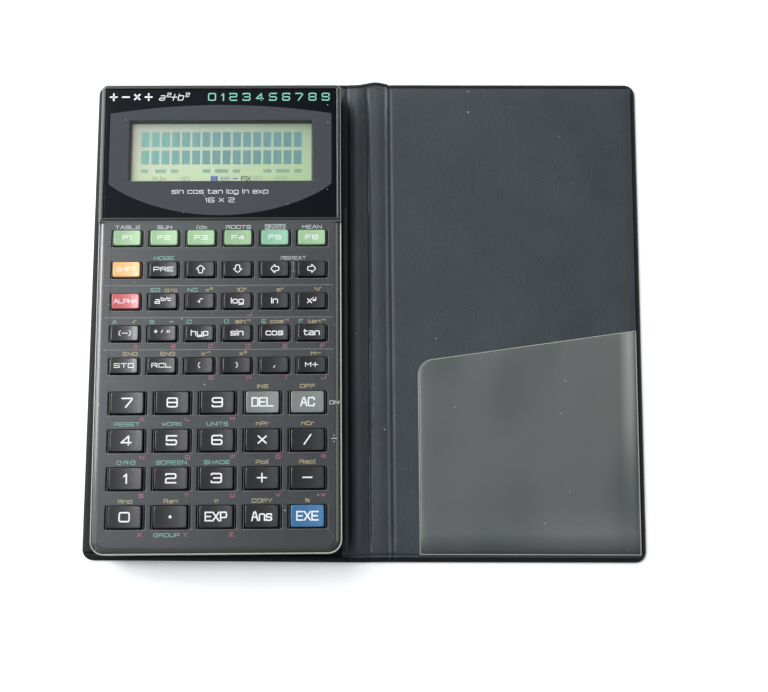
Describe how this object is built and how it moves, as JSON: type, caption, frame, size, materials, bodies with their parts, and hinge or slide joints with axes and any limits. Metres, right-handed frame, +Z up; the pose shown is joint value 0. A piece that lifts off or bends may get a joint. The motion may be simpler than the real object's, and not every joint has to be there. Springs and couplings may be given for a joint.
{
  "type": "scientific calculator in wallet",
  "caption": "Slim pocket scientific calculator with a two-line dot-matrix display and sprung keys, held in a vinyl wallet whose spine and cover fold over it.",
  "frame": {"origin": "middle of the opened wallet's outline, on the surface that it lies on", "axes": "+X from the calculator across the spine to the cover, +Y towards the display end, +Z up out of the keys"},
  "size_m": [0.1658, 0.1482, 0.0125],
  "materials": {
    "case": "charcoal moulded plastic, satin, with a glossy bevelled rim",
    "rear_case": "fine-textured charcoal moulded plastic",
    "window": "clear acrylic printed black from behind, glossy",
    "lcd": "pale yellow-green liquid crystal display with blue-green cells",
    "membrane": "grey silicone key sheet",
    "board": "green solder mask on a printed board",
    "battery": "nickel-plated coin cell",
    "vinyl": "dark slate grey vinyl with a fine leather grain, satin",
    "key_dark": "near-black moulded key cap, satin",
    "key_green": "pale green moulded key cap, satin",
    "key_teal": "pale blue-green moulded key cap, satin",
    "key_orange": "amber moulded key cap, satin",
    "key_red": "red moulded key cap, satin",
    "key_grey": "mid grey moulded key cap, satin",
    "key_blue": "blue moulded key cap, satin"
  },
  "bodies": {
    "calculator": {"front_case": "case", "rear_case": "rear_case", "display_window": "window", "lcd_glass": "lcd", "key_membrane": "membrane", "circuit_board": "board", "battery": "battery", "wallet_back": "vinyl"},
    "spine": {"wallet_spine": "vinyl"},
    "cover": {"wallet_cover": "vinyl"},
    "key_f1": {"key_f1": "key_green"},
    "key_f2": {"key_f2": "key_green"},
    "key_f3": {"key_f3": "key_green"},
    "key_f4": {"key_f4": "key_green"},
    "key_f5": {"key_f5": "key_teal"},
    "key_f6": {"key_f6": "key_green"},
    "key_shift": {"key_shift": "key_orange"},
    "key_preset": {"key_preset": "key_dark"},
    "key_up": {"key_up": "key_dark"},
    "key_down": {"key_down": "key_dark"},
    "key_left": {"key_left": "key_dark"},
    "key_right": {"key_right": "key_dark"},
    "key_alpha": {"key_alpha": "key_red"},
    "key_fraction": {"key_fraction": "key_dark"},
    "key_root": {"key_root": "key_dark"},
    "key_log": {"key_log": "key_dark"},
    "key_ln": {"key_ln": "key_dark"},
    "key_power": {"key_power": "key_dark"},
    "key_negative": {"key_negative": "key_dark"},
    "key_degrees": {"key_degrees": "key_dark"},
    "key_hyp": {"key_hyp": "key_dark"},
    "key_sin": {"key_sin": "key_dark"},
    "key_cos": {"key_cos": "key_dark"},
    "key_tan": {"key_tan": "key_dark"},
    "key_store": {"key_store": "key_dark"},
    "key_recall": {"key_recall": "key_dark"},
    "key_open_bracket": {"key_open_bracket": "key_dark"},
    "key_close_bracket": {"key_close_bracket": "key_dark"},
    "key_comma": {"key_comma": "key_dark"},
    "key_memory_plus": {"key_memory_plus": "key_dark"},
    "key_7": {"key_7": "key_dark"},
    "key_8": {"key_8": "key_dark"},
    "key_9": {"key_9": "key_dark"},
    "key_delete": {"key_delete": "key_grey"},
    "key_all_clear": {"key_all_clear": "key_grey"},
    "key_4": {"key_4": "key_dark"},
    "key_5": {"key_5": "key_dark"},
    "key_6": {"key_6": "key_dark"},
    "key_multiply": {"key_multiply": "key_dark"},
    "key_divide": {"key_divide": "key_dark"},
    "key_1": {"key_1": "key_dark"},
    "key_2": {"key_2": "key_dark"},
    "key_3": {"key_3": "key_dark"},
    "key_plus": {"key_plus": "key_dark"},
    "key_minus": {"key_minus": "key_dark"},
    "key_0": {"key_0": "key_dark"},
    "key_point": {"key_point": "key_dark"},
    "key_exponent": {"key_exponent": "key_dark"},
    "key_answer": {"key_answer": "key_dark"},
    "key_execute": {"key_execute": "key_blue"}
  },
  "joints": [
    {"name": "spine_fold", "type": "hinge", "parent": "calculator", "child": "spine", "pos_m": [-0.0053, 0, 0.0015], "axis": [0, -1, 0], "range_deg": [0, 90]},
    {"name": "cover_fold", "type": "hinge", "parent": "spine", "child": "cover", "pos_m": [0.0071, 0, 0.0015], "axis": [0, -1, 0], "range_deg": [0, 90]},
    {"name": "press_f1", "type": "slide", "parent": "calculator", "child": "key_f1", "axis": [0, 0, 1], "range_m": [-0.0009, 0], "stiffness_N_per_m": 200, "springref_m": 0.0005},
    {"name": "press_f2", "type": "slide", "parent": "calculator", "child": "key_f2", "axis": [0, 0, 1], "range_m": [-0.0009, 0], "stiffness_N_per_m": 200, "springref_m": 0.0005},
    {"name": "press_f3", "type": "slide", "parent": "calculator", "child": "key_f3", "axis": [0, 0, 1], "range_m": [-0.0009, 0], "stiffness_N_per_m": 200, "springref_m": 0.0005},
    {"name": "press_f4", "type": "slide", "parent": "calculator", "child": "key_f4", "axis": [0, 0, 1], "range_m": [-0.0009, 0], "stiffness_N_per_m": 200, "springref_m": 0.0005},
    {"name": "press_f5", "type": "slide", "parent": "calculator", "child": "key_f5", "axis": [0, 0, 1], "range_m": [-0.0009, 0], "stiffness_N_per_m": 200, "springref_m": 0.0005},
    {"name": "press_f6", "type": "slide", "parent": "calculator", "child": "key_f6", "axis": [0, 0, 1], "range_m": [-0.0009, 0], "stiffness_N_per_m": 200, "springref_m": 0.0005},
    {"name": "press_shift", "type": "slide", "parent": "calculator", "child": "key_shift", "axis": [0, 0, 1], "range_m": [-0.0009, 0], "stiffness_N_per_m": 200, "springref_m": 0.0005},
    {"name": "press_preset", "type": "slide", "parent": "calculator", "child": "key_preset", "axis": [0, 0, 1], "range_m": [-0.0009, 0], "stiffness_N_per_m": 200, "springref_m": 0.0005},
    {"name": "press_up", "type": "slide", "parent": "calculator", "child": "key_up", "axis": [0, 0, 1], "range_m": [-0.0009, 0], "stiffness_N_per_m": 200, "springref_m": 0.0005},
    {"name": "press_down", "type": "slide", "parent": "calculator", "child": "key_down", "axis": [0, 0, 1], "range_m": [-0.0009, 0], "stiffness_N_per_m": 200, "springref_m": 0.0005},
    {"name": "press_left", "type": "slide", "parent": "calculator", "child": "key_left", "axis": [0, 0, 1], "range_m": [-0.0009, 0], "stiffness_N_per_m": 200, "springref_m": 0.0005},
    {"name": "press_right", "type": "slide", "parent": "calculator", "child": "key_right", "axis": [0, 0, 1], "range_m": [-0.0009, 0], "stiffness_N_per_m": 200, "springref_m": 0.0005},
    {"name": "press_alpha", "type": "slide", "parent": "calculator", "child": "key_alpha", "axis": [0, 0, 1], "range_m": [-0.0009, 0], "stiffness_N_per_m": 200, "springref_m": 0.0005},
    {"name": "press_fraction", "type": "slide", "parent": "calculator", "child": "key_fraction", "axis": [0, 0, 1], "range_m": [-0.0009, 0], "stiffness_N_per_m": 200, "springref_m": 0.0005},
    {"name": "press_root", "type": "slide", "parent": "calculator", "child": "key_root", "axis": [0, 0, 1], "range_m": [-0.0009, 0], "stiffness_N_per_m": 200, "springref_m": 0.0005},
    {"name": "press_log", "type": "slide", "parent": "calculator", "child": "key_log", "axis": [0, 0, 1], "range_m": [-0.0009, 0], "stiffness_N_per_m": 200, "springref_m": 0.0005},
    {"name": "press_ln", "type": "slide", "parent": "calculator", "child": "key_ln", "axis": [0, 0, 1], "range_m": [-0.0009, 0], "stiffness_N_per_m": 200, "springref_m": 0.0005},
    {"name": "press_power", "type": "slide", "parent": "calculator", "child": "key_power", "axis": [0, 0, 1], "range_m": [-0.0009, 0], "stiffness_N_per_m": 200, "springref_m": 0.0005},
    {"name": "press_negative", "type": "slide", "parent": "calculator", "child": "key_negative", "axis": [0, 0, 1], "range_m": [-0.0009, 0], "stiffness_N_per_m": 200, "springref_m": 0.0005},
    {"name": "press_degrees", "type": "slide", "parent": "calculator", "child": "key_degrees", "axis": [0, 0, 1], "range_m": [-0.0009, 0], "stiffness_N_per_m": 200, "springref_m": 0.0005},
    {"name": "press_hyp", "type": "slide", "parent": "calculator", "child": "key_hyp", "axis": [0, 0, 1], "range_m": [-0.0009, 0], "stiffness_N_per_m": 200, "springref_m": 0.0005},
    {"name": "press_sin", "type": "slide", "parent": "calculator", "child": "key_sin", "axis": [0, 0, 1], "range_m": [-0.0009, 0], "stiffness_N_per_m": 200, "springref_m": 0.0005},
    {"name": "press_cos", "type": "slide", "parent": "calculator", "child": "key_cos", "axis": [0, 0, 1], "range_m": [-0.0009, 0], "stiffness_N_per_m": 200, "springref_m": 0.0005},
    {"name": "press_tan", "type": "slide", "parent": "calculator", "child": "key_tan", "axis": [0, 0, 1], "range_m": [-0.0009, 0], "stiffness_N_per_m": 200, "springref_m": 0.0005},
    {"name": "press_store", "type": "slide", "parent": "calculator", "child": "key_store", "axis": [0, 0, 1], "range_m": [-0.0009, 0], "stiffness_N_per_m": 200, "springref_m": 0.0005},
    {"name": "press_recall", "type": "slide", "parent": "calculator", "child": "key_recall", "axis": [0, 0, 1], "range_m": [-0.0009, 0], "stiffness_N_per_m": 200, "springref_m": 0.0005},
    {"name": "press_open_bracket", "type": "slide", "parent": "calculator", "child": "key_open_bracket", "axis": [0, 0, 1], "range_m": [-0.0009, 0], "stiffness_N_per_m": 200, "springref_m": 0.0005},
    {"name": "press_close_bracket", "type": "slide", "parent": "calculator", "child": "key_close_bracket", "axis": [0, 0, 1], "range_m": [-0.0009, 0], "stiffness_N_per_m": 200, "springref_m": 0.0005},
    {"name": "press_comma", "type": "slide", "parent": "calculator", "child": "key_comma", "axis": [0, 0, 1], "range_m": [-0.0009, 0], "stiffness_N_per_m": 200, "springref_m": 0.0005},
    {"name": "press_memory_plus", "type": "slide", "parent": "calculator", "child": "key_memory_plus", "axis": [0, 0, 1], "range_m": [-0.0009, 0], "stiffness_N_per_m": 200, "springref_m": 0.0005},
    {"name": "press_7", "type": "slide", "parent": "calculator", "child": "key_7", "axis": [0, 0, 1], "range_m": [-0.0009, 0], "stiffness_N_per_m": 200, "springref_m": 0.0005},
    {"name": "press_8", "type": "slide", "parent": "calculator", "child": "key_8", "axis": [0, 0, 1], "range_m": [-0.0009, 0], "stiffness_N_per_m": 200, "springref_m": 0.0005},
    {"name": "press_9", "type": "slide", "parent": "calculator", "child": "key_9", "axis": [0, 0, 1], "range_m": [-0.0009, 0], "stiffness_N_per_m": 200, "springref_m": 0.0005},
    {"name": "press_delete", "type": "slide", "parent": "calculator", "child": "key_delete", "axis": [0, 0, 1], "range_m": [-0.0009, 0], "stiffness_N_per_m": 200, "springref_m": 0.0005},
    {"name": "press_all_clear", "type": "slide", "parent": "calculator", "child": "key_all_clear", "axis": [0, 0, 1], "range_m": [-0.0009, 0], "stiffness_N_per_m": 200, "springref_m": 0.0005},
    {"name": "press_4", "type": "slide", "parent": "calculator", "child": "key_4", "axis": [0, 0, 1], "range_m": [-0.0009, 0], "stiffness_N_per_m": 200, "springref_m": 0.0005},
    {"name": "press_5", "type": "slide", "parent": "calculator", "child": "key_5", "axis": [0, 0, 1], "range_m": [-0.0009, 0], "stiffness_N_per_m": 200, "springref_m": 0.0005},
    {"name": "press_6", "type": "slide", "parent": "calculator", "child": "key_6", "axis": [0, 0, 1], "range_m": [-0.0009, 0], "stiffness_N_per_m": 200, "springref_m": 0.0005},
    {"name": "press_multiply", "type": "slide", "parent": "calculator", "child": "key_multiply", "axis": [0, 0, 1], "range_m": [-0.0009, 0], "stiffness_N_per_m": 200, "springref_m": 0.0005},
    {"name": "press_divide", "type": "slide", "parent": "calculator", "child": "key_divide", "axis": [0, 0, 1], "range_m": [-0.0009, 0], "stiffness_N_per_m": 200, "springref_m": 0.0005},
    {"name": "press_1", "type": "slide", "parent": "calculator", "child": "key_1", "axis": [0, 0, 1], "range_m": [-0.0009, 0], "stiffness_N_per_m": 200, "springref_m": 0.0005},
    {"name": "press_2", "type": "slide", "parent": "calculator", "child": "key_2", "axis": [0, 0, 1], "range_m": [-0.0009, 0], "stiffness_N_per_m": 200, "springref_m": 0.0005},
    {"name": "press_3", "type": "slide", "parent": "calculator", "child": "key_3", "axis": [0, 0, 1], "range_m": [-0.0009, 0], "stiffness_N_per_m": 200, "springref_m": 0.0005},
    {"name": "press_plus", "type": "slide", "parent": "calculator", "child": "key_plus", "axis": [0, 0, 1], "range_m": [-0.0009, 0], "stiffness_N_per_m": 200, "springref_m": 0.0005},
    {"name": "press_minus", "type": "slide", "parent": "calculator", "child": "key_minus", "axis": [0, 0, 1], "range_m": [-0.0009, 0], "stiffness_N_per_m": 200, "springref_m": 0.0005},
    {"name": "press_0", "type": "slide", "parent": "calculator", "child": "key_0", "axis": [0, 0, 1], "range_m": [-0.0009, 0], "stiffness_N_per_m": 200, "springref_m": 0.0005},
    {"name": "press_point", "type": "slide", "parent": "calculator", "child": "key_point", "axis": [0, 0, 1], "range_m": [-0.0009, 0], "stiffness_N_per_m": 200, "springref_m": 0.0005},
    {"name": "press_exponent", "type": "slide", "parent": "calculator", "child": "key_exponent", "axis": [0, 0, 1], "range_m": [-0.0009, 0], "stiffness_N_per_m": 200, "springref_m": 0.0005},
    {"name": "press_answer", "type": "slide", "parent": "calculator", "child": "key_answer", "axis": [0, 0, 1], "range_m": [-0.0009, 0], "stiffness_N_per_m": 200, "springref_m": 0.0005},
    {"name": "press_execute", "type": "slide", "parent": "calculator", "child": "key_execute", "axis": [0, 0, 1], "range_m": [-0.0009, 0], "stiffness_N_per_m": 200, "springref_m": 0.0005}
  ]
}
